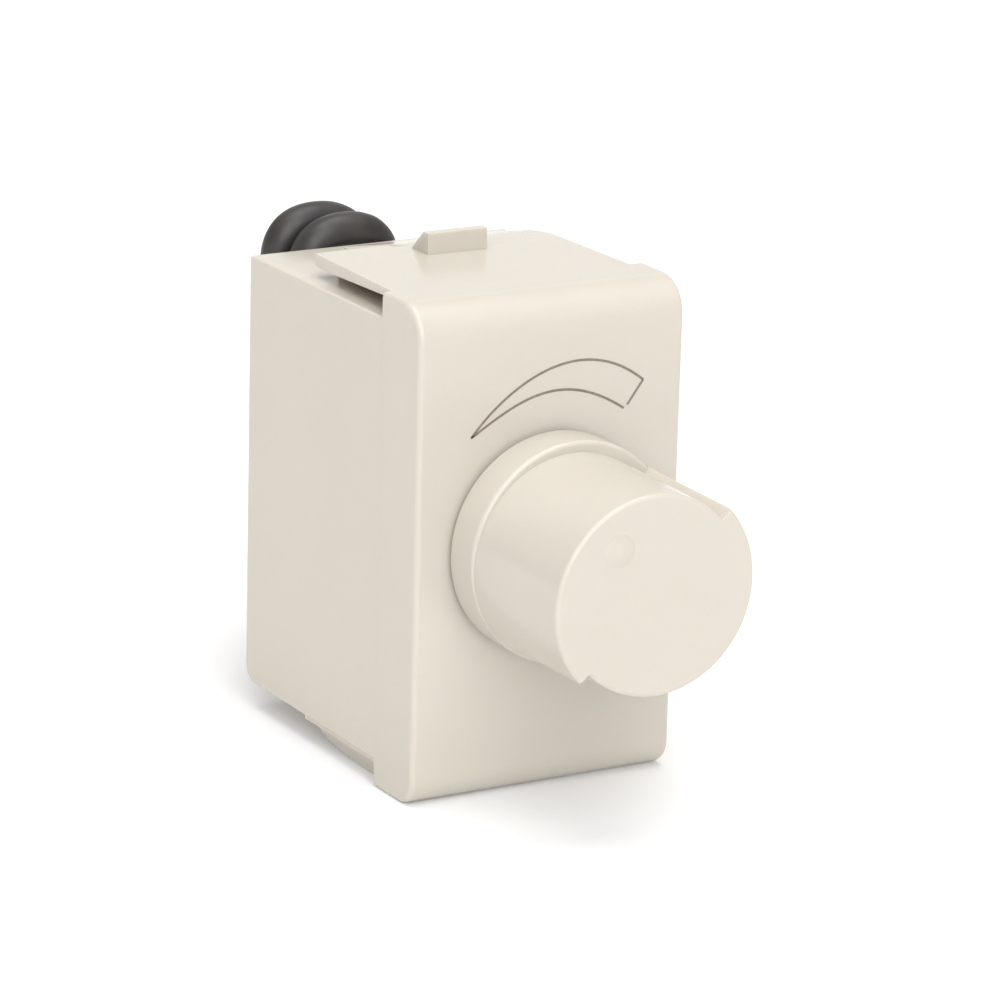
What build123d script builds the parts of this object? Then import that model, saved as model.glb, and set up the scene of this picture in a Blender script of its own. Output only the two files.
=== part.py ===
from build123d import *
import math
import os

os.makedirs("parts", exist_ok=True)

# The module stands on its lower edge. X runs across, Y to the rear, Z up.
# The origin is under the shoulder, the plane where the front cover meets the rear housing.

# Front cover
module_width = 24.0
cover_height = 41.0
cover_depth = 6.2
cover_wall = 1.5
cover_top_round = 3.0
cover_foot_round = 2.3
cover_edge_round = 0.45
spigot_thickness = 1.0
spigot_reach = 2.5
finger_width = 2.4
finger_inset = 3.75
lug_width = 6.0
lug_height = 0.35
lug_start = 0.9
lug_length = 1.4
lug_ramp = 0.45

# Rear housing
housing_depth = 22.8
housing_top_drop = 2.1
housing_bottom = 2.3
housing_wall = 1.5
housing_heel_round = 1.5
housing_edge_round = 0.25
fit_gap = 0.05
rail_height = 0.9
rail_thickness = 1.2
rail_inset = 4.8

# Spring clip on the housing's roof, its hook, and the locating pad below
clip_front_inset = 1.1
clip_rear_inset = 1.7
clip_top_drop = 0.15
clip_front_gap = 0.2
clip_front_thickness = 0.6
clip_rear_thickness = 1.05
clip_flat_end = 14.1
clip_root_length = 1.9
clip_ramp_start = 11.0
clip_ramp_turn = 5.8
clip_ramp_drop = 0.65
clip_ramp_margin = 0.5
clip_ramp_edge = -3.8
hook_width = 5.9
hook_front = 9.85
hook_height = 1.75
hook_thickness = 0.9
hook_ramp = 1.9
hook_rib_inset = 0.5
pad_side_inset = 1.4
pad_flat = 2.6
pad_heel_start = 11.4
pad_heel_height = 0.75
pad_length = 13.4
floor_band_length = 12.4
floor_band_height = 0.35

# Knob, turning on the potentiometer's shaft
knob_axis_rise = 0.4
knob_gap = 0.5
knob_reach = 16.4
skirt_radius = 9.15
skirt_depth = 3.5
skirt_round = 0.35
grip_face_radius = 8.5
grip_offset = 0.5
grip_split_angle = 43.0
grip_rim_round = 0.35
knob_wall = 1.5
knob_recess_radius = 7.3
hub_radius = 4.7
hub_rib_thickness = 1.0
hub_end_gap = 0.5
bore_floor = 1.2
pointer_angle = 130.0
pointer_distance = 5.3
pointer_radius = 1.33
pointer_height = 0.2
spring_thickness = 0.3
spring_width = 3.0
spring_length = 6.5

# Potentiometer
pot_radius = 8.0
pot_plate_thickness = 1.2
neck_radius = 3.5
neck_proud = 1.0
neck_chamfer = 0.25
washer_radius = 6.0
washer_thickness = 0.5
nut_across_flats = 10.0
nut_thickness = 2.0
pip_radius = 0.9
pip_height = 0.7
pip_distance = 6.2
shaft_radius = 3.0
shaft_end_gap = 0.3
shaft_flat_height = 1.5
shaft_chamfer = 0.5
shaft_shoulder_inset = 0.5
pivot_radius = 1.5
pivot_proud = 0.3
running_gap = 0.04
wafer_thickness = 1.2
wafer_hole_radius = 3.6
wafer_tail_width = 9.5
wafer_tail_drop = 11.0
track_inner_radius = 5.2
track_outer_radius = 6.8
track_thickness = 0.1
track_sweep = 270.0
case_depth = 4.2
case_wall = 0.5
tab_width = 2.5
tab_root = 1.6
tab_lap = 1.1
rotor_radius = 6.9
rotor_thickness = 1.2
rotor_hub_radius = 2.9
rotor_front_gap = 0.9
rotor_rear_gap = 0.2
wiper_inner_radius = 3.3
wiper_outer_radius = 4.6
wiper_thickness = 0.3
wiper_arm_width = 1.6
wiper_contact_radius = 0.35
wiper_contact_gap = 0.05
terminal_pitch = 4.0
terminal_width = 1.0
terminal_thickness = 0.4
terminal_rise = 2.6

# Circuit board and what is soldered to it
board_front = 5.6
board_thickness = 1.6
board_edge_gap = 0.3
board_end_gap = 0.6
board_corner = 0.6
pin_radius = 0.35
pin_hole_gap = 0.1
pin_proud = 0.6
pin_bend = 0.7
choke_x = -0.9
choke_pin_gap = 0.6
choke_rear_gap = 1.4
core_outer_radius = 7.6
core_inner_radius = 4.2
core_round = 0.2
winding_wire = 0.7
winding_gap = 0.05
winding_turns = 20
winding_sweep = 300.0
winding_end_inset = 10.0
film_x = -2.6
film_size = (13.0, 4.0, 9.0)
film_pitch = 10.0
film_round = 0.5
upper_row_drop = 2.8
row_pitch = 3.4
timing_x = 4.6
timing_size = (7.2, 2.6, 6.6)
timing_pitch = 5.0
timing_round = 0.4
resistor_x = -3.7
resistor_length = 6.3
resistor_radius = 1.15
resistor_end_radius = 1.3
resistor_end_length = 1.3
resistor_taper = 0.5
diac_x = 5.0
diac_length = 3.6
diac_radius = 0.9
diac_round = 0.3
fuse_top_gap = 0.3
fuse_length = 7.0
fuse_radius = 1.2
fuse_cap_length = 1.6
fuse_cap_round = 0.3
fuse_glass_wall = 0.25
fuse_element_radius = 0.12
lead_stub = 1.0
body_lift = 1.0

# Triac on its heat sink
sink_side_gap = 1.2
sink_bottom = 11.4
sink_top_gap = 0.8
sink_thickness = 1.5
triac_x = 0.0
triac_top_gap = 1.4
triac_width = 10.0
triac_body_height = 9.2
triac_thickness = 4.4
triac_chamfer = 0.7
triac_tab_height = 6.3
triac_tab_thickness = 1.3
triac_hole_radius = 1.85
triac_hole_drop = 2.8
triac_pin_pitch = 2.54
triac_pin_bend = 0.8
triac_pin_drop = 1.2
screw_radius = 1.5
screw_head_radius = 2.75
screw_head_height = 1.6
screw_head_round = 0.5
screw_slot_width = 0.8
screw_slot_depth = 0.7

# The two flying leads, black insulated wire of one square millimetre
lead_radius = 1.6
conductor_radius = 0.57
lead_exit_height = 8.0
lead_wall_distances = (7.9, 3.2)
lead_hole_gap = 0.1
tail_insulation_start = 9.4
stripped_length = 7.0
stripped_chamfer = 0.2
bend_share = 0.45
clamp_depth = 4.0
clamp_height = 7.2
clamp_side = 1.9
clamp_gap = 0.02

# Planes, places and half sizes that follow from these
half_width = module_width / 2
housing_top = cover_height - housing_top_drop
clip_top = cover_height - clip_top_drop
clip_front_half_width = half_width - clip_front_inset
clip_rear_half_width = half_width - clip_rear_inset
pad_half_width = half_width - pad_side_inset
clip_ramp_end = housing_depth - clip_ramp_margin
knob_axis_height = cover_height / 2 + knob_axis_rise
grip_root_radius = skirt_radius - grip_offset
cavity_half_width = half_width - housing_wall
cavity_top = housing_top - housing_wall
cavity_bottom = housing_bottom + housing_wall
cavity_rear = housing_depth - housing_wall
cavity_middle = (cavity_top + cavity_bottom) / 2
cavity_height = cavity_top - cavity_bottom
spigot_half_width = cavity_half_width - fit_gap
spigot_height = cavity_height - 2 * fit_gap
cover_face = -cover_depth
cover_inside = cover_face + cover_wall
knob_rear = cover_face - knob_gap
knob_face = cover_face - knob_reach
skirt_front = knob_rear - skirt_depth
washer_front = cover_face - washer_thickness
nut_front = washer_front - nut_thickness
neck_end = nut_front - neck_proud
hub_end = neck_end - hub_end_gap
bore_end = knob_face + knob_wall + bore_floor
shaft_end = bore_end + shaft_end_gap
plate_rear = cover_inside + pot_plate_thickness
wafer_rear = plate_rear + wafer_thickness
case_rear = wafer_rear + case_depth
track_rear = wafer_rear + track_thickness
rotor_front = wafer_rear + rotor_front_gap
rotor_rear = case_rear - case_wall - rotor_rear_gap
shaft_shoulder = wafer_rear - shaft_shoulder_inset
shaft_flat_length = hub_end - shaft_end + shaft_end_gap
board_rear = board_front + board_thickness
board_height = cavity_height - 2 * board_end_gap
upper_row = cavity_top - upper_row_drop
lower_row = upper_row - row_pitch
terminal_height = knob_axis_height - wafer_tail_drop + terminal_thickness
fuse_height = terminal_height - fuse_top_gap - fuse_radius
sink_front = cavity_rear - sink_thickness
sink_top = cavity_top - sink_top_gap
sink_width = 2 * (cavity_half_width - sink_side_gap)
tab_top = sink_top - triac_top_gap
triac_top = tab_top - triac_tab_height
triac_bottom = triac_top - triac_body_height
triac_pin_height = triac_bottom - triac_pin_drop
choke_front = board_rear + pin_proud + winding_wire + 2 * winding_gap
choke_rear = sink_front - triac_thickness - choke_rear_gap - winding_wire - winding_gap
choke_height = triac_pin_height + pin_radius + choke_pin_gap + core_outer_radius + winding_gap + winding_wire
lead_exit_x = [cavity_half_width - distance for distance in lead_wall_distances]
floor_height = lead_radius
fuse_x = sum(lead_exit_x) / 2 - fuse_length / 2 - lead_stub
film_height = (lead_exit_height + lead_radius + triac_pin_height - pin_radius) / 2


def across(y, height=0.0, x=0.0):
    """A drawing plane across the module at depth y, seen from the front; it extrudes forwards."""
    return Plane(origin=(x, y, height), x_dir=(1, 0, 0), z_dir=(0, -1, 0))


def round_bar(y_front, y_rear, radius, x, height):
    """A round bar along Y between two depths."""
    with BuildPart() as bar:
        with BuildSketch(across(y_rear, height, x)):
            Circle(radius)
        extrude(amount=y_rear - y_front)
    return bar.part


def bent_wire(points, radius, bends):
    """A round wire along straight runs joined by tangent arcs."""
    with BuildPart() as wire:
        with BuildLine() as route:
            FilletPolyline(*points, radius=bends)
        with BuildSketch(Plane(origin=route.line @ 0, z_dir=route.line % 0)):
            Circle(radius)
        sweep()
    return wire.part


def axial_leads(x, height, depth, length):
    """The two wires of an axial part that lies along X, bent back through the board."""
    wires = []
    for side in (-1, 1):
        end = x + side * length / 2
        corner = end + side * lead_stub
        points = [(end, depth, height), (corner, depth, height), (corner, board_rear + pin_proud, height)]
        wires.append(bent_wire(points, pin_radius, [pin_bend]))
    return wires


def write(block, name):
    """Labels a finished piece and writes it to its own file."""
    block.part.label = name
    export_step(block.part, f"parts/{name}.step")


# Front cover: a shallow moulded tray, open to the rear
with BuildPart() as front_cover:
    with BuildSketch(Plane.YZ):
        with Locations((cover_face / 2, cover_height / 2)):
            Rectangle(cover_depth, cover_height)
        fillet(vertices().group_by(Axis.X)[0].sort_by(Axis.Y)[0], cover_foot_round)
        fillet(vertices().group_by(Axis.X)[0].sort_by(Axis.Y)[-1], cover_top_round)
    extrude(amount=half_width, both=True)
    side_edges = faces().sort_by(Axis.X)[0].edges() + faces().sort_by(Axis.X)[-1].edges()
    fillet(side_edges.filter_by(lambda edge: edge.center().Y < -fit_gap), cover_edge_round)
    with BuildSketch(across(0, cover_height / 2)):
        Rectangle(2 * spigot_half_width, cover_height - 2 * cover_wall)
    extrude(amount=cover_depth - cover_wall, mode=Mode.SUBTRACT)
    # Spigot frame that enters the housing's mouth
    with BuildSketch(across(spigot_reach, cavity_middle)):
        Rectangle(2 * spigot_half_width, spigot_height)
        Rectangle(
            2 * (spigot_half_width - spigot_thickness),
            spigot_height - 2 * spigot_thickness,
            mode=Mode.SUBTRACT,
        )
    extrude(amount=spigot_reach - cover_inside)
    # Four fingers that press the circuit board against the housing's rails
    with BuildSketch(across(board_front, cavity_middle)):
        with GridLocations(2 * spigot_half_width - spigot_thickness, spigot_height - 2 * finger_inset, 2, 2):
            Rectangle(spigot_thickness, finger_width)
    extrude(amount=board_front - spigot_reach)
    # Snap lugs on the spigot's two sides
    with BuildSketch(Plane.XY.offset(cavity_middle)):
        with BuildLine():
            Polyline(
                (spigot_half_width - spigot_thickness / 2, lug_start),
                (spigot_half_width, lug_start),
                (spigot_half_width + lug_height, lug_start + lug_ramp),
                (spigot_half_width, lug_start + lug_length),
                (spigot_half_width - spigot_thickness / 2, lug_start + lug_length),
                close=True,
            )
        make_face()
        mirror(about=Plane.YZ)
    extrude(amount=lug_width / 2, both=True)
    # Hole for the potentiometer's neck, and the blind hole for its locating pip
    with BuildSketch(across(cover_inside, knob_axis_height)):
        Circle(neck_radius + fit_gap)
    extrude(amount=cover_wall, mode=Mode.SUBTRACT)
    with BuildSketch(across(cover_inside, knob_axis_height)):
        with Locations((-pip_distance, 0)):
            Circle(pip_radius + fit_gap)
    extrude(amount=pip_height + fit_gap, mode=Mode.SUBTRACT)
write(front_cover, "front_cover")

# Rear housing: a deep moulded box with the spring clip on its roof
with BuildPart() as rear_housing:
    with BuildSketch(Plane.YZ):
        with Locations((housing_depth / 2, (housing_top + housing_bottom) / 2)):
            Rectangle(housing_depth, housing_top - housing_bottom)
        fillet(vertices().group_by(Axis.X)[-1].sort_by(Axis.Y)[0], housing_heel_round)
        fillet(vertices().group_by(Axis.X)[-1].sort_by(Axis.Y)[-1], housing_edge_round)
    extrude(amount=half_width, both=True)
    side_edges = faces().sort_by(Axis.X)[0].edges() + faces().sort_by(Axis.X)[-1].edges()
    fillet(side_edges.filter_by(lambda edge: edge.center().Y > fit_gap), housing_edge_round)
    with BuildSketch(across(cavity_rear, cavity_middle)):
        Rectangle(2 * cavity_half_width, cavity_height)
    extrude(amount=cavity_rear, mode=Mode.SUBTRACT)
    # Rails behind the circuit board, on both side walls
    with BuildSketch(across(cavity_rear, cavity_middle)):
        with GridLocations(2 * cavity_half_width - rail_height, cavity_height - 2 * rail_inset, 2, 2):
            Rectangle(rail_height, rail_thickness)
    extrude(amount=cavity_rear - board_rear)
    # Spring clip: its whole width is flat in front, and right of clip_ramp_edge it runs down to the roof
    clip_under_front = clip_top - clip_front_thickness
    clip_under_rear = clip_top - clip_rear_thickness
    clip_root = clip_flat_end - clip_root_length
    with BuildSketch(Plane.YZ.offset(-clip_front_half_width)):
        with BuildLine():
            Polyline(
                (clip_root, housing_top),
                (clip_root - (clip_under_rear - housing_top), clip_under_rear),
                (clip_front_gap, clip_under_front),
                (clip_front_gap, clip_top),
                (clip_flat_end, clip_top),
                (clip_flat_end, housing_top),
                close=True,
            )
        make_face()
    extrude(amount=clip_front_half_width + clip_ramp_edge)
    with BuildSketch(Plane.YZ.offset(clip_ramp_edge)):
        with BuildLine():
            Polyline(
                (clip_ramp_end, housing_top),
                (clip_root, housing_top),
                (clip_root - (clip_under_rear - housing_top), clip_under_rear),
                (clip_front_gap, clip_under_front),
                (clip_front_gap, clip_top),
                (clip_ramp_start, clip_top),
            )
            shoulder = TangentArc(
                (clip_ramp_start, clip_top),
                (clip_ramp_start + clip_ramp_turn, clip_top - clip_ramp_drop),
                tangent=(1, 0),
            )
            Line(shoulder @ 1, (clip_ramp_end, housing_top))
        make_face()
    extrude(amount=clip_front_half_width - clip_ramp_edge)
    # The clip narrows towards its root
    with BuildSketch(Plane.XY.offset(housing_top)):
        with BuildLine():
            Polyline(
                (clip_front_half_width, 0),
                (clip_front_half_width + fit_gap, 0),
                (clip_front_half_width + fit_gap, housing_depth),
                (clip_rear_half_width, housing_depth),
                close=True,
            )
        make_face()
        mirror(about=Plane.YZ)
    extrude(amount=clip_top - housing_top, mode=Mode.SUBTRACT)
    # Hook on the clip that snaps behind the wall frame's lip: an upright plate backed by a ramped rib
    hook_foot = clip_top - clip_front_thickness / 2
    hook_top = clip_top + hook_height
    with BuildSketch(Plane.YZ):
        with Locations((hook_front + hook_thickness / 2, (hook_foot + hook_top) / 2)):
            Rectangle(hook_thickness, hook_top - hook_foot)
    extrude(amount=hook_width / 2, both=True)
    with BuildSketch(Plane.YZ):
        with BuildLine():
            Polyline(
                (hook_front + hook_thickness / 2, hook_foot),
                (hook_front + hook_thickness / 2, hook_top),
                (hook_front + hook_thickness, hook_top),
                (hook_front + hook_thickness + hook_ramp, clip_top),
                (hook_front + hook_thickness + hook_ramp, hook_foot),
                close=True,
            )
        make_face()
    extrude(amount=hook_width / 2 - hook_rib_inset, both=True)
    # Locating pad under the housing's front, on a full-width band, with a bowed sole and a sloped heel
    with BuildSketch(Plane.YZ):
        with Locations((floor_band_length / 2, housing_bottom)):
            Rectangle(floor_band_length, 2 * floor_band_height)
    extrude(amount=half_width - housing_edge_round, both=True)
    with BuildSketch(Plane.YZ):
        with BuildLine():
            Polyline(
                (pad_heel_start, pad_heel_height),
                (pad_length, housing_bottom),
                (0, housing_bottom),
                (0, 0),
                (pad_flat, 0),
            )
            TangentArc((pad_flat, 0), (pad_heel_start, pad_heel_height), tangent=(1, 0))
        make_face()
    extrude(amount=pad_half_width, both=True)
    # Pockets for the cover's snap lugs
    with BuildSketch(Plane.XY.offset(cavity_middle)):
        with Locations((0, lug_start + lug_length / 2)):
            Rectangle(2 * (spigot_half_width + lug_height + fit_gap), lug_length + 2 * fit_gap)
            Rectangle(2 * (cavity_half_width - fit_gap), 2 * lug_length, mode=Mode.SUBTRACT)
    extrude(amount=lug_width / 2 + fit_gap, both=True, mode=Mode.SUBTRACT)
    # Two holes for the leads
    with BuildSketch(across(housing_depth, lead_exit_height)):
        with Locations(*[(x, 0) for x in lead_exit_x]):
            Circle(lead_radius + lead_hole_gap)
    extrude(amount=housing_wall, mode=Mode.SUBTRACT)
write(rear_housing, "rear_housing")


def grip_half(keep, shift):
    """One half of the knob's grip: a drafted round bar, cut along the split line and shifted along it."""
    lean = math.radians(grip_split_angle)
    along = (math.cos(lean), math.sin(lean))
    draft = math.degrees(math.atan((grip_root_radius - grip_face_radius) / (skirt_front - knob_face)))
    face_plane = across(knob_face, knob_axis_height)
    with BuildPart() as half:
        with BuildSketch(face_plane):
            with Locations((shift * along[0], shift * along[1])):
                Circle(grip_face_radius)
        extrude(amount=-(skirt_front - knob_face), taper=-draft)
        fillet(edges().sort_by(Axis.Y)[0], grip_rim_round)
        cut = Plane(
            origin=(0, knob_face, knob_axis_height),
            x_dir=(0, 1, 0),
            z_dir=(-along[1], 0, along[0]),
        )
        split(bisect_by=cut, keep=keep)
    return half.part


# Knob: a hollow moulding with a skirt, a stepped grip, a ribbed hub and a raised pointer dot
with BuildPart() as knob:
    with BuildSketch(across(knob_rear, knob_axis_height)):
        Circle(skirt_radius)
    extrude(amount=skirt_depth)
    fillet(edges().sort_by(Axis.Y)[0], skirt_round)
    add(grip_half(Keep.TOP, -grip_offset))
    add(grip_half(Keep.BOTTOM, grip_offset))
    with BuildSketch(across(knob_rear, knob_axis_height)):
        Circle(knob_recess_radius)
    extrude(
        amount=knob_rear - knob_face - knob_wall,
        taper=math.degrees(math.atan((grip_root_radius - grip_face_radius) / (skirt_front - knob_face))),
        mode=Mode.SUBTRACT,
    )
    with BuildSketch(across(hub_end, knob_axis_height)):
        Circle(hub_radius)
        Rectangle(2 * grip_face_radius - knob_wall, hub_rib_thickness)
        Rectangle(hub_rib_thickness, 2 * grip_face_radius - knob_wall)
    extrude(amount=hub_end - knob_face - knob_wall / 2)
    # Bore with a flat, deeper on the flat's side by the spring leaf
    with BuildSketch(across(hub_end, knob_axis_height)):
        Circle(shaft_radius + running_gap)
        with Locations((0, shaft_flat_height + spring_thickness + running_gap + shaft_radius)):
            Rectangle(4 * shaft_radius, 2 * shaft_radius, mode=Mode.SUBTRACT)
    extrude(amount=hub_end - bore_end, mode=Mode.SUBTRACT)
    # Pointer dot, a shallow cap of a sphere on the face
    dot_sphere = (pointer_radius**2 + pointer_height**2) / (2 * pointer_height)
    bearing = math.radians(pointer_angle)
    dot_x = pointer_distance * math.cos(bearing)
    dot_height = knob_axis_height + pointer_distance * math.sin(bearing)
    with BuildSketch(Plane(origin=(dot_x, knob_face, dot_height), x_dir=(1, 0, 0), z_dir=(0, 0, 1))):
        with BuildLine():
            rim = CenterArc((0, dot_sphere - pointer_height), dot_sphere, -90, math.degrees(
                math.asin(pointer_radius / dot_sphere)))
            Polyline(rim @ 1, (pointer_radius, knob_wall / 2), (0, knob_wall / 2), rim @ 0)
        make_face()
    revolve(axis=Axis((dot_x, knob_face, dot_height), (0, 1, 0)))
write(knob, "knob")

# Leaf spring that takes up the play between the shaft's flat and the hub's bore
with BuildPart() as knob_spring:
    with BuildSketch(across(shaft_end + spring_length, knob_axis_height)):
        with Locations((0, shaft_flat_height + spring_thickness / 2 + running_gap / 2)):
            Rectangle(spring_width, spring_thickness)
    extrude(amount=spring_length)
write(knob_spring, "knob_spring")

# Shaft: turned aluminium with a flat at the knob's end and a thin pivot at the rear
with BuildPart() as pot_shaft:
    add(round_bar(shaft_end, shaft_shoulder, shaft_radius, 0, knob_axis_height))
    chamfer(edges().sort_by(Axis.Y)[0], shaft_chamfer)
    add(round_bar(shaft_shoulder, case_rear + pivot_proud, pivot_radius, 0, knob_axis_height))
    with BuildSketch(across(shaft_end + shaft_flat_length, knob_axis_height)):
        with Locations((0, shaft_flat_height + shaft_radius)):
            Rectangle(4 * shaft_radius, 2 * shaft_radius)
    extrude(amount=shaft_flat_length, mode=Mode.SUBTRACT)
write(pot_shaft, "pot_shaft")

# Bushing: cast plate with the neck that passes through the cover
with BuildPart() as pot_bushing:
    add(round_bar(cover_inside, plate_rear, pot_radius, 0, knob_axis_height))
    add(round_bar(neck_end, cover_inside, neck_radius, 0, knob_axis_height))
    chamfer(edges().sort_by(Axis.Y)[0], neck_chamfer)
    add(round_bar(cover_inside - pip_height, cover_inside, pip_radius, -pip_distance, knob_axis_height))
    with BuildSketch(across(plate_rear, knob_axis_height)):
        Circle(shaft_radius + running_gap)
    extrude(amount=plate_rear - neck_end, mode=Mode.SUBTRACT)
write(pot_bushing, "pot_bushing")

# Washer and nut that clamp the bushing to the cover, hidden in the knob's recess
with BuildPart() as pot_washer:
    with BuildSketch(across(cover_face, knob_axis_height)):
        Circle(washer_radius)
        Circle(neck_radius + fit_gap, mode=Mode.SUBTRACT)
    extrude(amount=washer_thickness)
write(pot_washer, "pot_washer")

with BuildPart() as pot_nut:
    with BuildSketch(across(washer_front, knob_axis_height)):
        RegularPolygon(nut_across_flats / 2, 6, major_radius=False)
        Circle(neck_radius + fit_gap / 2, mode=Mode.SUBTRACT)
    extrude(amount=nut_thickness)
write(pot_nut, "pot_nut")

# Resistance wafer: a phenolic disc with a tail for the terminals
with BuildPart() as pot_wafer:
    with BuildSketch(across(wafer_rear, knob_axis_height)):
        Circle(pot_radius)
        with Locations((0, -wafer_tail_drop / 2)):
            Rectangle(wafer_tail_width, wafer_tail_drop)
        Circle(wafer_hole_radius, mode=Mode.SUBTRACT)
    extrude(amount=wafer_thickness)
write(pot_wafer, "pot_wafer")

# Carbon track printed on the wafer's rear face, open at the bottom
with BuildPart() as carbon_track:
    track_middle = (track_inner_radius + track_outer_radius) / 2
    with BuildSketch(across(track_rear, knob_axis_height)):
        with BuildLine():
            CenterArc((0, 0), track_middle, 90 - track_sweep / 2, track_sweep)
        trace(line_width=track_outer_radius - track_inner_radius)
    extrude(amount=track_thickness)
write(carbon_track, "carbon_track")

# Case: a drawn steel cup with three crimp tabs along the wafer and the plate
with BuildPart() as pot_case:
    add(round_bar(wafer_rear, case_rear, pot_radius, 0, knob_axis_height))
    fillet(edges().sort_by(Axis.Y)[-1], case_wall)
    with BuildSketch(across(case_rear - case_wall, knob_axis_height)):
        Circle(pot_radius - case_wall)
    extrude(amount=case_depth - case_wall, mode=Mode.SUBTRACT)
    with BuildSketch(across(case_rear, knob_axis_height)):
        Circle(pivot_radius + running_gap)
    extrude(amount=case_wall, mode=Mode.SUBTRACT)
    with BuildSketch(across(wafer_rear + tab_root, knob_axis_height)):
        with PolarLocations(pot_radius, 3, start_angle=90):
            Rectangle(2 * case_wall, tab_width)
        Circle(pot_radius, mode=Mode.SUBTRACT)
    extrude(amount=tab_root + wafer_thickness + tab_lap)
write(pot_case, "pot_case")

# Rotor on the shaft's pivot, and the sprung wiper on its front face
with BuildPart() as pot_rotor:
    with BuildSketch(across(rotor_front + rotor_thickness, knob_axis_height)):
        Circle(rotor_radius)
    extrude(amount=rotor_thickness)
    with BuildSketch(across(rotor_rear, knob_axis_height)):
        Circle(rotor_hub_radius)
    extrude(amount=rotor_rear - shaft_shoulder)
    with BuildSketch(across(rotor_rear, knob_axis_height)):
        Circle(pivot_radius + fit_gap / 2)
    extrude(amount=rotor_rear - shaft_shoulder, mode=Mode.SUBTRACT)
write(pot_rotor, "pot_rotor")

with BuildPart() as pot_wiper:
    with BuildSketch(across(rotor_front, knob_axis_height)):
        Circle(wiper_outer_radius)
        with Locations(Rotation(0, 0, pointer_angle)):
            with Locations((track_middle / 2 + wiper_outer_radius / 2, 0)):
                Rectangle(track_middle - wiper_outer_radius + wiper_arm_width, wiper_arm_width)
        Circle(wiper_inner_radius, mode=Mode.SUBTRACT)
    extrude(amount=wiper_thickness)
    with BuildSketch(across(rotor_front - wiper_thickness, knob_axis_height)):
        with PolarLocations(track_middle, 1, start_angle=pointer_angle):
            with GridLocations(0, wiper_arm_width / 2, 1, 2):
                Circle(wiper_contact_radius)
    extrude(amount=rotor_front - wiper_thickness - track_rear - wiper_contact_gap)
write(pot_wiper, "pot_wiper")

# Three flat terminals, riveted to the wafer's tail and soldered through the board
terminal_places = [(side * terminal_pitch, terminal_height + terminal_thickness / 2) for side in (-1, 0, 1)]
with BuildPart() as pot_terminals:
    with BuildSketch(across(wafer_rear + terminal_thickness, terminal_height)):
        with GridLocations(terminal_pitch, 0, 3, 1):
            with Locations((0, terminal_rise / 2)):
                Rectangle(terminal_width, terminal_rise)
    extrude(amount=terminal_thickness)
    with BuildSketch(across(board_rear + pin_proud, terminal_height)):
        with GridLocations(terminal_pitch, 0, 3, 1):
            with Locations((0, terminal_thickness / 2)):
                Rectangle(terminal_width, terminal_thickness)
    extrude(amount=board_rear + pin_proud - wafer_rear)
write(pot_terminals, "pot_terminals")

# Places where round pins pass through the board
film_pins = [(film_x + side * film_pitch / 2, film_height) for side in (-1, 1)]
timing_pins = [(timing_x + side * timing_pitch / 2, upper_row) for side in (-1, 1)]
winding_radius = core_outer_radius + winding_gap + winding_wire / 2
winding_end_angle = math.radians((360 - winding_sweep) / 2 - winding_end_inset)
choke_pins = [
    (choke_x + side * winding_radius * math.sin(winding_end_angle),
     choke_height - winding_radius * math.cos(winding_end_angle))
    for side in (-1, 1)
]
triac_pins = [(triac_x + side * triac_pin_pitch, triac_pin_height) for side in (-1, 0, 1)]
tail_pins = [(x, lead_exit_height) for x in lead_exit_x]


def axial_pins(x, height, length):
    """Where an axial part's two wires cross the board."""
    return [(x + side * (length / 2 + lead_stub), height) for side in (-1, 1)]


axial_places = axial_pins(diac_x, lower_row, diac_length) + axial_pins(fuse_x, fuse_height, fuse_length)
for height in (lower_row, upper_row):
    axial_places += axial_pins(resistor_x, height, resistor_length)

# Circuit board, held between the housing's rails and the cover's fingers
with BuildPart() as circuit_board:
    with BuildSketch(across(board_rear, cavity_middle)):
        Rectangle(2 * (cavity_half_width - board_edge_gap), board_height)
        chamfer(vertices(), board_corner)
    extrude(amount=board_thickness)
    with BuildSketch(across(board_rear)):
        with Locations(*(film_pins + timing_pins + choke_pins + triac_pins + axial_places)):
            Circle(pin_radius + pin_hole_gap)
        with Locations(*tail_pins):
            Circle(conductor_radius + pin_hole_gap)
        with Locations(*terminal_places):
            Rectangle(terminal_width + 2 * pin_hole_gap, terminal_thickness + 2 * pin_hole_gap)
    extrude(amount=board_thickness, mode=Mode.SUBTRACT)
write(circuit_board, "circuit_board")


# Noise choke: a powder ring with a wound wire, each turn a closed band round the ring
core_thickness = choke_rear - choke_front
with BuildPart() as choke_core:
    with BuildSketch(across(choke_front + core_thickness, choke_height, choke_x)):
        Circle(core_outer_radius)
        Circle(core_inner_radius, mode=Mode.SUBTRACT)
    extrude(amount=core_thickness)
    fillet(edges(), core_round)
write(choke_core, "choke_core")

choke_middle = choke_front + core_thickness / 2
with BuildPart() as choke_winding:
    band_width = core_outer_radius - core_inner_radius + 2 * winding_gap
    band_depth = core_thickness + 2 * winding_gap
    with BuildSketch(Plane(origin=(choke_x, choke_middle, choke_height), x_dir=(0, 0, 1), z_dir=(1, 0, 0))):
        with Locations(((core_outer_radius + core_inner_radius) / 2, 0)):
            RectangleRounded(band_width + 2 * winding_wire, band_depth + 2 * winding_wire, winding_wire)
            Rectangle(band_width, band_depth, mode=Mode.SUBTRACT)
    first_turn = extrude(amount=winding_wire / 2, both=True)
    turn_step = winding_sweep / (winding_turns - 1)
    hub_line = Axis((choke_x, 0, choke_height), (0, 1, 0))
    for turn in range(1, winding_turns):
        add(first_turn.rotate(hub_line, turn * turn_step))
winding = choke_winding.part.rotate(hub_line, -winding_sweep / 2)
with BuildPart() as choke_coil:
    add(winding)
    for x, height in choke_pins:
        add(round_bar(board_front - pin_proud, choke_middle, pin_radius, x, height))
write(choke_coil, "choke_winding")


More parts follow.
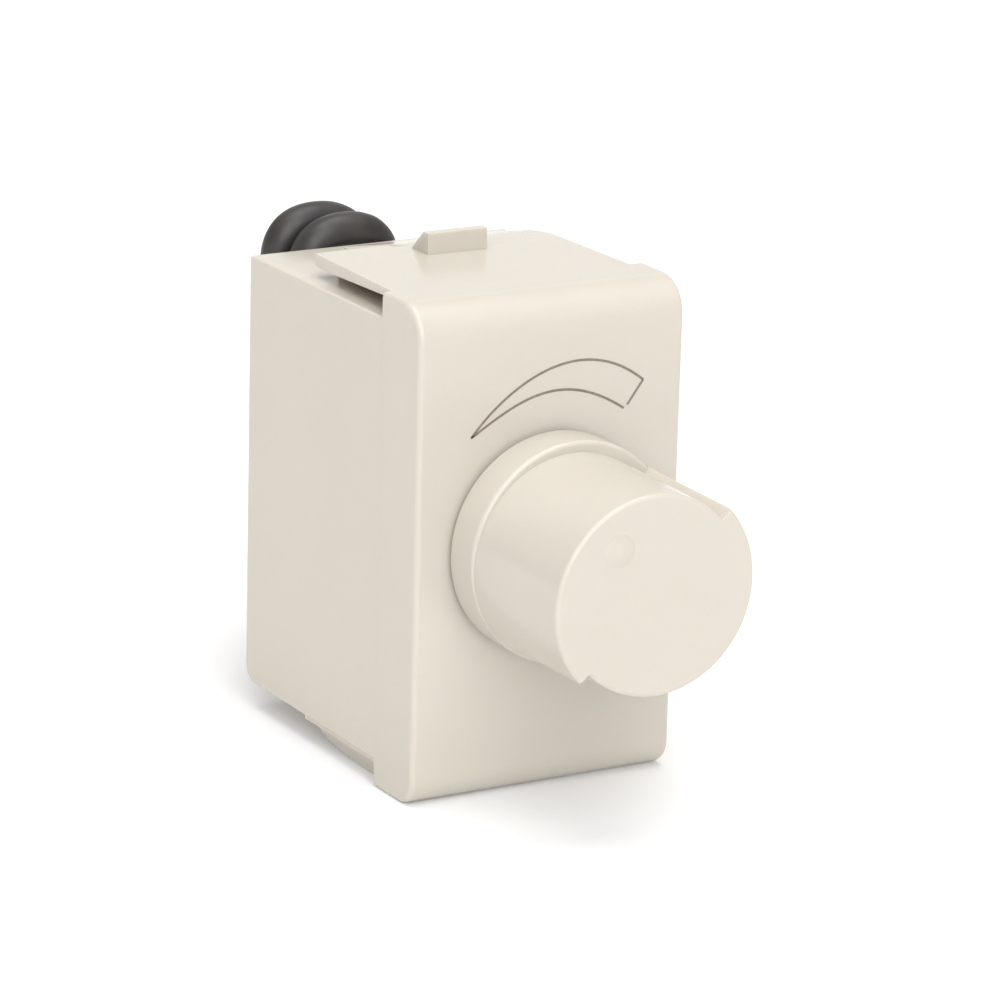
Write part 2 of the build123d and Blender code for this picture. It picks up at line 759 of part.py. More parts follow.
def boxed_capacitor(x, height, size, corner, y_seat, direction):
    """A potted film capacitor's box, standing on the board at y_seat and reaching away from it."""
    width, thickness, depth = size
    with BuildPart() as box:
        with BuildSketch(across(y_seat, height, x)):
            RectangleRounded(width, thickness, corner)
        extrude(amount=-direction * depth)
        far_face = faces().sort_by(Axis.Y)[-1 if direction > 0 else 0]
        fillet(far_face.edges(), corner / 2)
    return box.part


with BuildPart() as film_capacitor:
    add(boxed_capacitor(film_x, film_height, film_size, film_round, board_rear, 1))
write(film_capacitor, "film_capacitor")

with BuildPart() as film_capacitor_pins:
    for x, height in film_pins:
        add(round_bar(board_front - pin_proud, board_rear, pin_radius, x, height))
write(film_capacitor_pins, "film_capacitor_pins")

with BuildPart() as timing_capacitor:
    add(boxed_capacitor(timing_x, upper_row, timing_size, timing_round, board_front, -1))
write(timing_capacitor, "timing_capacitor")

with BuildPart() as timing_capacitor_pins:
    for x, height in timing_pins:
        add(round_bar(board_front, board_rear + pin_proud, pin_radius, x, height))
write(timing_capacitor_pins, "timing_capacitor_pins")

# Two film resistors, a spindle form with raised ends
resistor_depth = board_front - body_lift - resistor_end_radius
end_inside = resistor_length / 2 - resistor_end_length
barrel_half_length = end_inside - resistor_taper
with BuildPart() as resistors:
    for height in (lower_row, upper_row):
        with BuildSketch(Plane.XY.offset(height)) as spindle:
            with BuildLine():
                Polyline(
                    (resistor_x - resistor_length / 2, resistor_depth),
                    (resistor_x - resistor_length / 2, resistor_depth - resistor_end_radius),
                    (resistor_x - end_inside, resistor_depth - resistor_end_radius),
                    (resistor_x - barrel_half_length, resistor_depth - resistor_radius),
                    (resistor_x + barrel_half_length, resistor_depth - resistor_radius),
                    (resistor_x + end_inside, resistor_depth - resistor_end_radius),
                    (resistor_x + resistor_length / 2, resistor_depth - resistor_end_radius),
                    (resistor_x + resistor_length / 2, resistor_depth),
                    close=True,
                )
            make_face()
        revolve(axis=Axis((resistor_x, resistor_depth, height), (1, 0, 0)))
write(resistors, "resistors")

with BuildPart() as resistor_leads:
    for height in (lower_row, upper_row):
        for wire in axial_leads(resistor_x, height, resistor_depth, resistor_length):
            add(wire)
write(resistor_leads, "resistor_leads")

# Diac: a small glass-bodied trigger diode
diac_depth = board_front - body_lift - diac_radius
with BuildPart() as diac:
    with BuildSketch(Plane.YZ.offset(diac_x - diac_length / 2)):
        with Locations((diac_depth, lower_row)):
            Circle(diac_radius)
    extrude(amount=diac_length)
    fillet(edges(), diac_round)
write(diac, "diac")

with BuildPart() as diac_leads:
    for wire in axial_leads(diac_x, lower_row, diac_depth, diac_length):
        add(wire)
write(diac_leads, "diac_leads")

# Fuse: a glass tube between two metal caps, with wire ends
fuse_depth = board_front - body_lift - fuse_radius
with BuildPart() as fuse_glass:
    with BuildSketch(Plane.YZ.offset(fuse_x - fuse_length / 2 + fuse_cap_length)):
        with Locations((fuse_depth, fuse_height)):
            Circle(fuse_radius - fit_gap)
            Circle(fuse_radius - fit_gap - fuse_glass_wall, mode=Mode.SUBTRACT)
    extrude(amount=fuse_length - 2 * fuse_cap_length)
write(fuse_glass, "fuse_glass")

with BuildPart() as fuse_caps:
    with BuildSketch(Plane.YZ.offset(fuse_x - fuse_length / 2)):
        with Locations((fuse_depth, fuse_height)):
            Circle(fuse_radius)
    extrude(amount=fuse_cap_length)
    with BuildSketch(Plane.YZ.offset(fuse_x + fuse_length / 2 - fuse_cap_length)):
        with Locations((fuse_depth, fuse_height)):
            Circle(fuse_radius)
    extrude(amount=fuse_cap_length)
    fillet(edges().group_by(Axis.X)[0] + edges().group_by(Axis.X)[-1], fuse_cap_round)
write(fuse_caps, "fuse_caps")

with BuildPart() as fuse_element:
    with BuildSketch(Plane.YZ.offset(fuse_x - fuse_length / 2 + fuse_cap_length)):
        with Locations((fuse_depth, fuse_height)):
            Circle(fuse_element_radius)
    extrude(amount=fuse_length - 2 * fuse_cap_length)
write(fuse_element, "fuse_element")

with BuildPart() as fuse_leads:
    for wire in axial_leads(fuse_x, fuse_height, fuse_depth, fuse_length):
        add(wire)
write(fuse_leads, "fuse_leads")

# Heat sink: a flat aluminium plate against the rear wall
tab_hole_height = tab_top - triac_hole_drop
with BuildPart() as heat_sink:
    with BuildSketch(across(cavity_rear, (sink_top + sink_bottom) / 2)):
        RectangleRounded(sink_width, sink_top - sink_bottom, sink_thickness)
    extrude(amount=sink_thickness)
    with BuildSketch(across(cavity_rear, tab_hole_height, triac_x)):
        Circle(screw_radius + fit_gap)
    extrude(amount=sink_thickness, mode=Mode.SUBTRACT)
write(heat_sink, "heat_sink")

# Triac: moulded body, metal tab screwed to the heat sink, three pins bent forward to the board
with BuildPart() as triac_body:
    with BuildSketch(across(sink_front, triac_bottom + triac_body_height / 2, triac_x)):
        Rectangle(triac_width, triac_body_height)
    extrude(amount=triac_thickness)
    chamfer(faces().sort_by(Axis.Y)[0].edges(), triac_chamfer)
write(triac_body, "triac_body")

with BuildPart() as triac_tab:
    with BuildSketch(across(sink_front, triac_top + triac_tab_height / 2, triac_x)):
        Rectangle(triac_width, triac_tab_height)
        chamfer(vertices().group_by(Axis.Y)[-1], triac_chamfer)
        with Locations((0, triac_tab_height / 2 - triac_hole_drop)):
            Circle(triac_hole_radius, mode=Mode.SUBTRACT)
    extrude(amount=triac_tab_thickness)
write(triac_tab, "triac_tab")

triac_pin_depth = sink_front - triac_thickness / 2
with BuildPart() as triac_leads:
    for x, height in triac_pins:
        points = [
            (x, triac_pin_depth, triac_bottom),
            (x, triac_pin_depth, height),
            (x, board_front - pin_proud, height),
        ]
        add(bent_wire(points, pin_radius, [triac_pin_bend]))
write(triac_leads, "triac_leads")

with BuildPart() as heat_sink_screw:
    tab_front = sink_front - triac_tab_thickness
    add(round_bar(tab_front - screw_head_height, tab_front, screw_head_radius, triac_x, tab_hole_height))
    fillet(edges().sort_by(Axis.Y)[0], screw_head_round)
    add(round_bar(tab_front, cavity_rear, screw_radius, triac_x, tab_hole_height))
    with BuildSketch(across(tab_front - screw_head_height + screw_slot_depth, tab_hole_height, triac_x)):
        Rectangle(2 * screw_head_radius + screw_slot_width, screw_slot_width)
    extrude(amount=screw_slot_depth, mode=Mode.SUBTRACT)
write(heat_sink_screw, "heat_sink_screw")

# Clamp that holds both leads against the rear wall, standing on the housing's floor
clamp_left = lead_exit_x[0] - clamp_side
clamp_right = lead_exit_x[1] + clamp_side
with BuildPart() as lead_clamp:
    with BuildSketch(across(cavity_rear, cavity_bottom + clamp_height / 2, (clamp_left + clamp_right) / 2)):
        RectangleRounded(clamp_right - clamp_left, clamp_height, film_round)
    extrude(amount=clamp_depth)
    with BuildSketch(across(cavity_rear, lead_exit_height)):
        with Locations(*[(x, 0) for x in lead_exit_x]):
            Circle(lead_radius + clamp_gap)
    extrude(amount=clamp_depth, mode=Mode.SUBTRACT)
write(lead_clamp, "lead_clamp")

# The leads' ends inside the housing: insulation as far as the clamp, bare wire through the board
with BuildPart() as lead_tails:
    for x in lead_exit_x:
        add(round_bar(tail_insulation_start, cavity_rear, lead_radius, x, lead_exit_height))
write(lead_tails, "lead_tails")

with BuildPart() as tail_conductors:
    for x in lead_exit_x:
        add(round_bar(board_front - pin_proud, tail_insulation_start, conductor_radius, x, lead_exit_height))
write(tail_conductors, "tail_conductors")

# Free routes of the two leads, from the rear wall up over a tight fold and down to the surface
front_loop_route = [
    (lead_exit_x[0], cavity_rear, lead_exit_height),
    (lead_exit_x[0], 29.6, lead_exit_height),
    (2.3, 35.0, 15.0),
    (1.9, 32.5, 25.0),
    (1.3, 25.9, 32.2),
    (1.2, 24.8, 39.4),
    (-5.4, 24.8, 39.4),
    (-5.4, 25.1, 32.6),
    (-5.2, 25.6, 20.6),
    (-4.8, 26.7, 9.8),
    (-1.4, 31.4, floor_height),
    (8.2, 36.8, floor_height),
    (18.6, 41.0, floor_height),
]
rear_loop_route = [
    (lead_exit_x[1], cavity_rear, lead_exit_height),
    (lead_exit_x[1], 30.4, lead_exit_height),
    (7.0, 36.6, 15.2),
    (6.2, 35.4, 26.0),
    (3.4, 30.4, 33.2),
    (1.2, 28.8, 40.0),
    (-5.4, 28.8, 40.0),
    (-5.3, 29.2, 33.1),
    (-5.0, 29.7, 21.0),
    (-4.4, 30.9, 10.2),
    (-1.0, 36.6, floor_height),
    (7.4, 44.6, floor_height),
    (17.0, 50.2, floor_height),
]


def corner_radii(route):
    """Each corner's arc, as large as its two runs allow."""
    points = [Vector(*point) for point in route]
    radii = []
    for before, corner, after in zip(points, points[1:], points[2:]):
        turn = (corner - before).get_angle(after - corner)
        shorter = min((corner - before).length, (after - corner).length)
        radii.append(bend_share * shorter / math.tan(math.radians(turn) / 2))
    return radii


for name, route in (("lead_front", front_loop_route), ("lead_rear", rear_loop_route)):
    radii = corner_radii(route)
    with BuildPart() as lead:
        add(bent_wire(route, lead_radius, radii))
    write(lead, name)
    end = Vector(*route[-1])
    out = (end - Vector(*route[-2])).normalized()
    with BuildPart() as bare_end:
        with BuildSketch(Plane(origin=end, z_dir=out)):
            Circle(conductor_radius)
        extrude(amount=stripped_length)
        chamfer(edges().sort_by(Axis(end, out))[-1], stripped_chamfer)
    write(bare_end, name + "_bare_end")
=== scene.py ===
import math

import bmesh
import bpy
from mathutils import Matrix, Vector


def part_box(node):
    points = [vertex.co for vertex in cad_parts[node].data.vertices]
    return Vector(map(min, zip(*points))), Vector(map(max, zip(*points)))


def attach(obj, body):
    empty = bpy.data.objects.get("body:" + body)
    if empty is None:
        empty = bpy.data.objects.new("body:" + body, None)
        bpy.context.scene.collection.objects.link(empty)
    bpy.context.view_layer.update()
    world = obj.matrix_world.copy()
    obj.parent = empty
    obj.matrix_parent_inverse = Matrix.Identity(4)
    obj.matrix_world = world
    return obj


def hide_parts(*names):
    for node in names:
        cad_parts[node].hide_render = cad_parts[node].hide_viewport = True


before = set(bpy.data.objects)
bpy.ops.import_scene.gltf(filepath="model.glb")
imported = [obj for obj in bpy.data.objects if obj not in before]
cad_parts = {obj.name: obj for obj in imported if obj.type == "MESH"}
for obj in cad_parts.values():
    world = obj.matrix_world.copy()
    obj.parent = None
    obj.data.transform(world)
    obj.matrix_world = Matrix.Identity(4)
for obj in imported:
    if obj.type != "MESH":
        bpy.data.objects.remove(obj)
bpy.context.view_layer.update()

# Rear housing: a deep open box with a sprung clip, a ramp and a hook on its roof, injection
# moulded in one piece from ivory thermoplastic. The polished tool leaves it glossy, with
# faint flow marks.
MM = 0.001
patch_stops = (0.3, 0.7)
all_ways = (1.0, 1.0, 1.0)


def shader_of(material):
    """The one shader that a material's look is set on."""
    return material.node_tree.nodes["Principled BSDF"]


def set_up(name, colour, roughness, metallic=0.0):
    """A new node material, with the even values on the shader's own sockets."""
    material = bpy.data.materials.new(name)
    material.use_nodes = True
    shader = shader_of(material)
    shader.inputs["Base Color"].default_value = (*colour, 1.0)
    shader.inputs["Roughness"].default_value = roughness
    shader.inputs["Metallic"].default_value = metallic
    return material


def patches(material, grain, detail, stretch):
    """Noise in the piece's own space, with patches about grain metres across."""
    tree = material.node_tree
    place = tree.nodes.new("ShaderNodeTexCoord")
    turn = tree.nodes.new("ShaderNodeMapping")
    turn.inputs["Scale"].default_value = stretch
    lumps = tree.nodes.new("ShaderNodeTexNoise")
    lumps.inputs["Scale"].default_value = 1.0 / grain
    lumps.inputs["Detail"].default_value = detail
    tree.links.new(place.outputs["Object"], turn.inputs["Vector"])
    tree.links.new(turn.outputs["Vector"], lumps.inputs["Vector"])
    return lumps.outputs["Fac"]


def vary(material, socket, ends, grain, detail=3.0, stretch=all_ways):
    """Lets a shader's value or colour wander between two ends, patch by patch."""
    tree = material.node_tree
    source = patches(material, grain, detail, stretch)
    ramp = tree.nodes.new("ShaderNodeValToRGB")
    for element, stop, end in zip(ramp.color_ramp.elements, patch_stops, ends):
        element.position = stop
        element.color = (*end, 1.0) if isinstance(end, tuple) else (end, end, end, 1.0)
    tree.links.new(source, ramp.inputs["Fac"])
    tree.links.new(ramp.outputs["Color"], shader_of(material).inputs[socket])


def relief(material, height, grain, detail=3.0, stretch=all_ways):
    """Raises patches from the surface by about height metres."""
    tree = material.node_tree
    source = patches(material, grain, detail, stretch)
    bump = tree.nodes.new("ShaderNodeBump")
    bump.inputs["Strength"].default_value = 1.0
    bump.inputs["Distance"].default_value = height
    tree.links.new(source, bump.inputs["Height"])
    tree.links.new(bump.outputs["Normal"], shader_of(material).inputs["Normal"])


def dress(node, material):
    """Gives a carried-over piece its material."""
    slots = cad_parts[node].data.materials
    slots.clear()
    slots.append(material)


def add(name, data):
    """Puts a new piece with this mesh, curve, light or camera into the scene."""
    piece = bpy.data.objects.new(name, data)
    bpy.context.scene.collection.objects.link(piece)
    return piece


ivory = (0.560, 0.521, 0.455)
ivory_deep = (0.553, 0.513, 0.446)
plastic = set_up("ivory_plastic", ivory, 0.18)
shader_of(plastic).inputs["IOR"].default_value = 1.5
shader_of(plastic).inputs["Subsurface Weight"].default_value = 0.3
shader_of(plastic).inputs["Subsurface Radius"].default_value = (1.0, 0.7, 0.5)
shader_of(plastic).inputs["Subsurface Scale"].default_value = 0.8 * MM
vary(plastic, "Base Color", (ivory_deep, ivory), 12 * MM, 2.0, (1.0, 1.0, 0.45))
vary(plastic, "Roughness", (0.16, 0.20), 2.5 * MM)
relief(plastic, 0.0008 * MM, 1.6 * MM)


def block(outline, front, rear):
    """A closed block: an outline of x and z carried from the front depth to the rear one, in mm."""
    count = len(outline)
    corners = [(x * MM, y * MM, z * MM) for y in (front, rear) for x, z in outline]
    faces = [tuple(range(count))[::-1], tuple(range(count, 2 * count))]
    faces += [(i, (i + 1) % count, (i + 1) % count + count, i + count) for i in range(count)]
    mesh = bpy.data.meshes.new("cut")
    mesh.from_pydata(corners, [], faces)
    shape = bmesh.new()
    shape.from_mesh(mesh)
    bmesh.ops.recalc_face_normals(shape, faces=shape.faces)
    shape.to_mesh(mesh)
    shape.free()
    return add("cut", mesh)


def cut_away(node, name, blocks):
    """A copy of a carried-over piece with the blocks cut away and its edges kept crisp."""
    weld = 0.0005 * MM
    crisp_above = math.radians(6)
    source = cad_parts[node]
    piece = add(name, source.data.copy())
    piece.matrix_world = source.matrix_world
    for cutter in blocks:
        cut = piece.modifiers.new("cut", "BOOLEAN")
        cut.operation = "DIFFERENCE"
        cut.solver = "EXACT"
        cut.object = cutter
    bpy.context.view_layer.update()
    seen = piece.evaluated_get(bpy.context.evaluated_depsgraph_get())
    piece.data = bpy.data.meshes.new_from_object(seen)
    piece.modifiers.clear()
    for cutter in blocks:
        bpy.data.objects.remove(cutter)
    shape = bmesh.new()
    shape.from_mesh(piece.data)
    bmesh.ops.remove_doubles(shape, verts=shape.verts, dist=weld)
    shape.to_mesh(piece.data)
    shape.free()
    piece.data.shade_smooth()
    piece.data.set_sharp_from_angle(angle=crisp_above)
    return piece


# The clip stands free at its left rear corner, its ramp's left side leans, and the hook is
# trimmed on the left. All in mm.
roof = 38.9005
clip_top = 40.8505
under_clip = block([(-12.5, roof), (-8.4, roof), (-8.4, 39.8), (-12.5, 39.8)], 11.0, 14.3)
ramp_side = block([(-3.9, roof), (-1.4, 41.2), (-3.9, 41.2)], 14.11, 22.9)
hook_side = block([(-3.1, clip_top), (-2.5, clip_top), (-2.5, 42.8), (-3.1, 42.8)], 9.6, 12.9)
housing = cut_away("rear_housing", "housing_moulding", [under_clip, ramp_side, hook_side])
housing.data.materials.clear()
housing.data.materials.append(plastic)
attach(housing, "module")
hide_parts("rear_housing")
dress("rear_housing", plastic)

# Flying leads: black insulated copper wire, folded back over a tight hairpin behind the
# housing and let down to the table, each with its last few millimetres stripped.
lead_diameter = 3.2 * MM
lead_steps = 24
lead_roundness = 8
lead_rest = 1.6
lead_routes = {
    "front": [
        (2.6, 21.3, 8.0),
        (2.6, 29.6, 8.0),
        (2.3, 35.0, 15.0),
        (1.9, 32.5, 25.0),
        (1.7, 25.9, 32.2),
        (1.5, 24.8, 39.6),
        (-5.7, 24.8, 39.6),
        (-5.6, 25.1, 32.6),
        (-5.2, 25.6, 20.6),
        (-4.8, 26.7, 9.8),
        (-1.4, 31.4, lead_rest),
        (8.2, 36.8, lead_rest),
        (18.6, 41.0, lead_rest),
    ],
    "rear": [
        (7.3, 21.3, 8.0),
        (7.3, 30.4, 8.0),
        (7.0, 36.6, 15.2),
        (6.2, 35.4, 26.0),
        (2.4, 30.2, 33.2),
        (0.7, 28.8, 39.7),
        (-6.1, 28.8, 39.7),
        (-6.0, 29.2, 33.1),
        (-5.0, 29.7, 21.0),
        (-4.4, 30.9, 10.2),
        (-1.0, 36.6, lead_rest),
        (7.4, 44.6, lead_rest),
        (17.0, 50.2, lead_rest),
    ],
}
insulation = set_up("black_insulation", (0.030, 0.027, 0.026), 0.42)
shader_of(insulation).inputs["IOR"].default_value = 1.5
vary(insulation, "Base Color", ((0.022, 0.020, 0.020), (0.042, 0.037, 0.034)), 3 * MM)
vary(insulation, "Roughness", (0.36, 0.50), 1.1 * MM)
relief(insulation, 0.004 * MM, 0.25 * MM)
copper = set_up("bare_copper", (0.80, 0.42, 0.27), 0.28, 1.0)
vary(copper, "Base Color", ((0.70, 0.33, 0.20), (0.86, 0.48, 0.31)), 1.5 * MM)
vary(copper, "Roughness", (0.22, 0.38), 0.4 * MM)
for name, route in lead_routes.items():
    line = bpy.data.curves.new("lead_" + name, "CURVE")
    line.dimensions = "3D"
    line.resolution_u = lead_steps
    line.bevel_depth = lead_diameter / 2
    line.bevel_resolution = lead_roundness
    line.use_fill_caps = True
    spline = line.splines.new("NURBS")
    spline.points.add(len(route) - 1)
    for point, place in zip(spline.points, route):
        point.co = (*[value * MM for value in place], 1.0)
    spline.order_u = 3
    spline.use_endpoint_u = True
    line.materials.append(insulation)
    lead = add("lead_" + name + "_wire", line)
    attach(lead, "module")
    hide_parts("lead_" + name)
    dress("lead_" + name + "_bare_end", copper)
    dress("lead_" + name, insulation)

# Lead clamp and the leads' inner ends: a nylon block holds both wires against the rear
# wall, and their bare ends are soldered through the board.
nylon = set_up("clamp_nylon", (0.72, 0.70, 0.63), 0.45)
vary(nylon, "Base Color", ((0.68, 0.66, 0.58), (0.76, 0.74, 0.68)), 2 * MM)
relief(nylon, 0.003 * MM, 0.3 * MM)
dress("lead_clamp", nylon)
dress("lead_tails", insulation)
dress("tail_conductors", copper)

# Heat sink: a blanked sheet of mill-finish aluminium, flat against the rear wall, with
# the triac screwed to it.
aluminium = set_up("sheet_aluminium", (0.78, 0.79, 0.80), 0.35, 1.0)
vary(aluminium, "Roughness", (0.26, 0.46), 0.5 * MM, 4.0, (1.0, 1.0, 0.08))
relief(aluminium, 0.002 * MM, 0.2 * MM, 3.0, (1.0, 1.0, 0.05))
dress("heat_sink", aluminium)

# Triac: a three-legged power switch in black moulding compound on a tinned copper tab,
# its legs bent forward into the board, held by one plated screw.
compound = set_up("moulding_compound", (0.030, 0.030, 0.033), 0.55)
vary(compound, "Roughness", (0.45, 0.65), 0.3 * MM)
relief(compound, 0.006 * MM, 0.15 * MM)
tin = set_up("tinned_metal", (0.70, 0.70, 0.69), 0.30, 1.0)
vary(tin, "Base Color", ((0.60, 0.60, 0.60), (0.78, 0.78, 0.76)), 0.8 * MM)
vary(tin, "Roughness", (0.22, 0.42), 0.5 * MM)
plated = set_up("plated_steel", (0.68, 0.68, 0.70), 0.25, 1.0)
vary(plated, "Roughness", (0.18, 0.34), 0.6 * MM)
relief(plated, 0.001 * MM, 0.25 * MM)
dress("triac_body", compound)
dress("triac_tab", tin)
dress("triac_leads", tin)
dress("heat_sink_screw", plated)

# Circuit board: tan paper laminate, sawn and drilled, clamped between the housing's rails
# and the cover's fingers.
laminate = set_up("board_laminate", (0.50, 0.33, 0.13), 0.50)
vary(laminate, "Base Color", ((0.44, 0.28, 0.10), (0.56, 0.38, 0.17)), 1.2 * MM, 5.0)
relief(laminate, 0.003 * MM, 0.3 * MM)
dress("circuit_board", laminate)

# Noise choke: a pressed powder ring dipped in yellow epoxy, wound with one layer of
# enamelled copper wire, standing on the board's rear.
epoxy = set_up("yellow_epoxy", (0.72, 0.55, 0.07), 0.40)
vary(epoxy, "Base Color", ((0.66, 0.48, 0.05), (0.78, 0.62, 0.10)), 1.0 * MM)
relief(epoxy, 0.010 * MM, 0.4 * MM)
enamel = set_up("enamelled_copper", (0.55, 0.20, 0.07), 0.25, 1.0)
shader_of(enamel).inputs["Coat Weight"].default_value = 0.6
vary(enamel, "Base Color", ((0.46, 0.16, 0.05), (0.62, 0.25, 0.09)), 1.5 * MM)
dress("choke_core", epoxy)
dress("choke_winding", enamel)

# Film capacitors: a large grey suppression box on the board's rear and a small red timing
# box on its front, both potted plastic cases on two wires.
grey_case = set_up("grey_case", (0.42, 0.43, 0.42), 0.35)
vary(grey_case, "Roughness", (0.28, 0.45), 0.6 * MM)
relief(grey_case, 0.003 * MM, 0.2 * MM)
red_case = set_up("red_case", (0.42, 0.035, 0.022), 0.35)
vary(red_case, "Base Color", ((0.36, 0.028, 0.018), (0.48, 0.045, 0.028)), 1.0 * MM)
relief(red_case, 0.003 * MM, 0.2 * MM)
dress("film_capacitor", grey_case)
dress("film_capacitor_pins", tin)
dress("timing_capacitor", red_case)
dress("timing_capacitor_pins", tin)

# Resistors, diac and fuse: wire-ended parts laid along the board's front. The resistors are
# dipped in lacquer, the diac is sealed in glass, and the fuse is a glass tube with metal caps.
lacquer = set_up("beige_lacquer", (0.55, 0.43, 0.26), 0.38)
vary(lacquer, "Base Color", ((0.48, 0.37, 0.21), (0.60, 0.48, 0.31)), 0.7 * MM)
relief(lacquer, 0.006 * MM, 0.3 * MM)
blue_glass = set_up("blue_glass", (0.08, 0.18, 0.40), 0.12)
vary(blue_glass, "Base Color", ((0.06, 0.14, 0.33), (0.10, 0.22, 0.48)), 0.5 * MM)
clear_glass = set_up("clear_glass", (0.95, 0.97, 0.96), 0.03)
shader_of(clear_glass).inputs["Transmission Weight"].default_value = 1.0
shader_of(clear_glass).inputs["IOR"].default_value = 1.5
vary(clear_glass, "Roughness", (0.02, 0.06), 0.8 * MM)
dress("resistors", lacquer)
dress("resistor_leads", tin)
dress("diac", blue_glass)
dress("diac_leads", tin)
dress("fuse_glass", clear_glass)
dress("fuse_caps", plated)
dress("fuse_element", tin)
dress("fuse_leads", tin)

# Potentiometer: a brown phenolic wafer with a printed carbon track between a die-cast
# plate and a drawn steel cup, with three tinned terminals.
phenolic = set_up("brown_phenolic", (0.23, 0.11, 0.045), 0.45)
vary(phenolic, "Base Color", ((0.19, 0.09, 0.035), (0.28, 0.14, 0.06)), 0.9 * MM, 5.0)
carbon = set_up("carbon_ink", (0.020, 0.020, 0.022), 0.40)
vary(carbon, "Roughness", (0.32, 0.50), 0.3 * MM)
zinc = set_up("cast_zinc", (0.55, 0.55, 0.57), 0.42, 1.0)
vary(zinc, "Roughness", (0.34, 0.52), 0.5 * MM)
relief(zinc, 0.006 * MM, 0.3 * MM)
dress("pot_bushing", zinc)
dress("pot_wafer", phenolic)
dress("carbon_track", carbon)
dress("pot_case", plated)
dress("pot_terminals", tin)

# Shaft, rotor and wiper: a turned aluminium shaft carries a dark moulded disc and a
# pressed bronze spring, and they turn together inside the cup.
turned = set_up("turned_aluminium", (0.80, 0.81, 0.82), 0.28, 1.0)
vary(turned, "Roughness", (0.20, 0.38), 0.3 * MM, 3.0, (1.0, 0.05, 1.0))
relief(turned, 0.002 * MM, 0.15 * MM, 3.0, (0.05, 1.0, 0.05))
bronze = set_up("sprung_bronze", (0.62, 0.38, 0.15), 0.30, 1.0)
vary(bronze, "Base Color", ((0.55, 0.32, 0.12), (0.68, 0.44, 0.19)), 0.8 * MM)
dress("pot_shaft", turned)
dress("pot_rotor", compound)
dress("pot_wiper", bronze)

# Front cover: a shallow ivory tray that snaps into the housing, moulded with polished
# faces and rounded edges, in the same plastic.
dress("front_cover", plastic)

# Printed wedge: the dimmer's mark, one thin line of brown-grey ink on the cover's face,
# printed as two bowed strokes from a point and a short end stroke. Places are x and z in mm.
ink_width = 0.21 * MM
ink_height = 0.012 * MM
ink_steps = 48
ink_section = ((-1, 0), (-0.8, 1), (0.8, 1), (1, 0))
cover_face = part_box("front_cover")[0].y
wedge_tip = (-7.29, 30.15)
wedge_end = (8.33, 33.19)
wedge_strokes = {
    "outer": (wedge_tip, (-4.73, 33.30), (1.85, 38.36), wedge_end),
    "inner": (wedge_tip, (-2.91, 32.84), (0.77, 34.94), (6.60, 31.03)),
    "end": (wedge_end, (7.86, 32.55), (7.39, 31.92), (6.92, 31.28)),
}


def bowed(corners, share):
    """A point on a cubic curve, share of the way along."""
    rest = 1.0 - share
    weights = (rest**3, 3 * rest**2 * share, 3 * rest * share**2, share**3)
    return Vector([sum(w * c[axis] for w, c in zip(weights, corners)) * MM for axis in (0, 1)])


def ink_stroke(corners):
    """A thin raised strip of ink along a curve on the cover's face."""
    strip = bmesh.new()
    rows = []
    for step in range(ink_steps + 1):
        here = bowed(corners, step / ink_steps)
        before = bowed(corners, max(0.0, (step - 0.5) / ink_steps))
        after = bowed(corners, min(1.0, (step + 0.5) / ink_steps))
        ahead = after - before
        side = Vector((-ahead.y, ahead.x)).normalized() * ink_width / 2
        row = []
        for offset, height in ink_section:
            spot = here + side * offset
            row.append(strip.verts.new((spot.x, cover_face - height * ink_height, spot.y)))
        rows.append(row)
    for first, second in zip(rows, rows[1:]):
        for low, high in ((0, 1), (1, 2), (2, 3), (3, 0)):
            strip.faces.new((first[low], second[low], second[high], first[high]))
    strip.faces.new(rows[0][::-1])
    strip.faces.new(rows[-1])
    bmesh.ops.recalc_face_normals(strip, faces=strip.faces)
    return strip


ink = set_up("printed_ink", (0.20, 0.155, 0.115), 0.40)
vary(ink, "Base Color", ((0.17, 0.13, 0.095), (0.24, 0.19, 0.145)), 0.4 * MM)
for name, corners in wedge_strokes.items():
    drawn = bpy.data.meshes.new("wedge_" + name)
    strip = ink_stroke(corners)
    strip.to_mesh(drawn)
    strip.free()
    drawn.materials.append(ink)
    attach(add("wedge_" + name + "_stroke", drawn), "module")

# Nut and washer: plated steel, they clamp the potentiometer's neck to the cover and are
# hidden in the knob's recess.
dress("pot_washer", plated)
dress("pot_nut", plated)

# Knob and its leaf spring: a hollow ivory moulding pushed on the shaft, held by a strip of
# spring steel on the shaft's flat.
blued = set_up("spring_steel", (0.35, 0.36, 0.40), 0.30, 1.0)
vary(blued, "Roughness", (0.24, 0.40), 0.5 * MM)
dress("knob", plastic)
dress("knob_spring", blued)

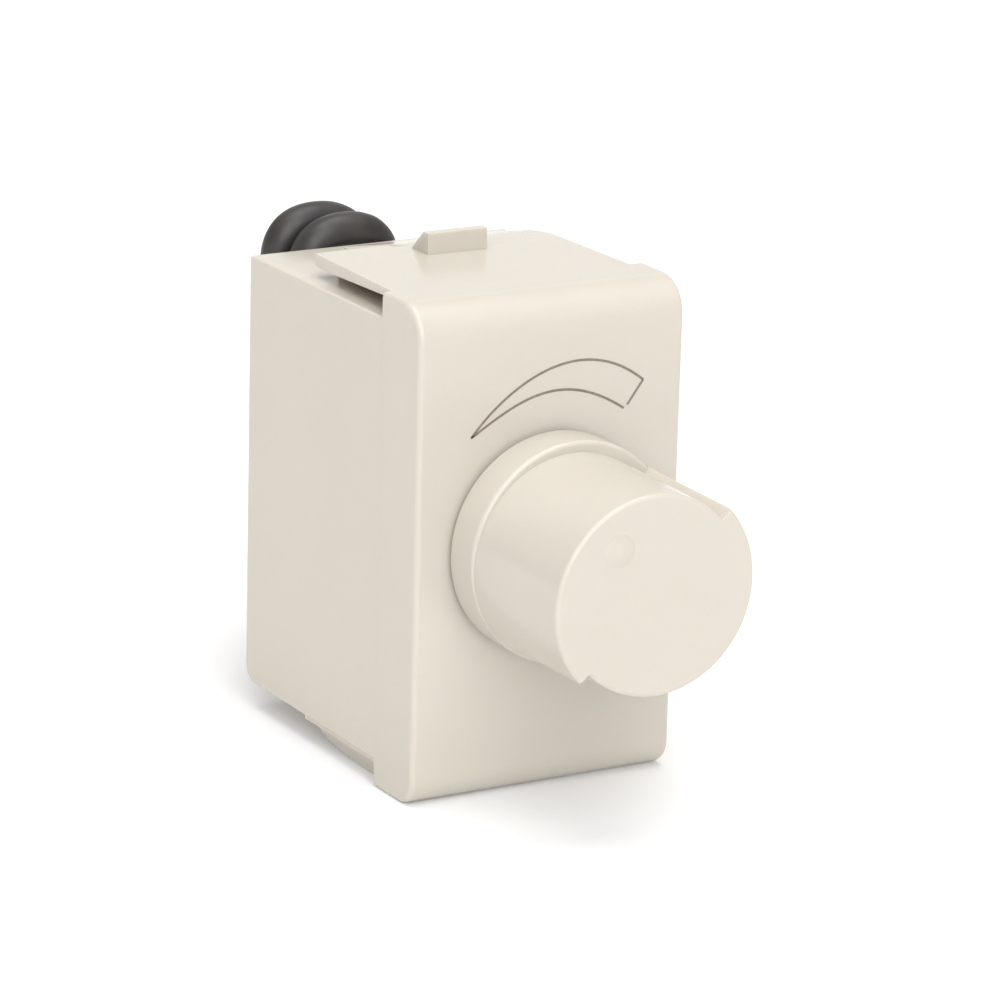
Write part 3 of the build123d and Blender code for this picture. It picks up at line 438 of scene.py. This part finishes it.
# Floor: a plain pale table that runs out of view behind the module, painted dead matt. A
# little light of its own keeps it white right up to the module's shadow.
reach = 3.0
floor_mesh = bpy.data.meshes.new("floor")
floor_corners = [(-reach, -reach, 0), (reach, -reach, 0), (reach, reach, 0), (-reach, reach, 0)]
floor_mesh.from_pydata(floor_corners, [], [(0, 1, 2, 3)])
floor_paint = set_up("floor_paint", (0.82, 0.82, 0.82), 0.9)
shader_of(floor_paint).inputs["Specular IOR Level"].default_value = 0.0
shader_of(floor_paint).inputs["Emission Color"].default_value = (1.0, 1.0, 1.0, 1.0)
shader_of(floor_paint).inputs["Emission Strength"].default_value = 0.09
floor_mesh.materials.append(floor_paint)
add("floor", floor_mesh)

# Studio light: a white room, a large soft light high on the front left, one overhead, and a
# pale wall far behind that the roof and the clip mirror.
world = bpy.data.worlds.new("room")
world.use_nodes = True
room = world.node_tree.nodes["Background"]
room.inputs["Color"].default_value = (1.0, 0.98, 0.94, 1.0)
room.inputs["Strength"].default_value = 0.50
bpy.context.scene.world = world
bpy.context.scene.view_settings.view_transform = "Standard"
light_aim = Vector((0.0, 0.0, 0.02))


def softbox(name, place, size, power, tint):
    """A square soft light at place, turned towards the module."""
    lamp = bpy.data.lights.new(name, "AREA")
    lamp.color = tint
    lamp.shape = "SQUARE"
    lamp.size = size
    lamp.energy = power
    light = add(name, lamp)
    light.location = place
    light.rotation_euler = (light_aim - Vector(place)).to_track_quat("-Z", "Y").to_euler()


softbox("overhead", (0.05, 0.0, 1.1), 0.9, 8.0, (1.0, 0.99, 0.98))
softbox("front_left", (-0.42, -0.88, 0.70), 1.2, 14.0, (0.96, 0.98, 1.02))
softbox("far_wall", (1.0, 1.67, 0.62), 1.6, 3.6, (0.98, 0.99, 1.0))

# Camera: the photograph's long lens, from the front left and a little above, with the
# small roll and shift of its framing.
eye = Vector((-191.45, -326.28, 133.73)) * MM
azimuth = math.radians(-30.008)
elevation = math.radians(16.718)
roll = math.radians(1.444)
back = Vector((
    math.sin(azimuth) * math.cos(elevation),
    -math.cos(azimuth) * math.cos(elevation),
    math.sin(elevation),
))
level = Vector((0, 0, 1)).cross(back).normalized()
upright = back.cross(level)
right = level * math.cos(roll) + upright * math.sin(roll)
up = upright * math.cos(roll) - level * math.sin(roll)
lens = bpy.data.cameras.new("camera")
lens.sensor_width = 36.0
lens.lens = 176.68
lens.shift_x = 0.0233
lens.shift_y = 0.0285
lens.clip_start = 0.01
camera = add("camera", lens)
turn = Matrix((right, up, back)).transposed().to_4x4()
camera.matrix_world = Matrix.Translation(eye) @ turn
bpy.context.scene.camera = camera
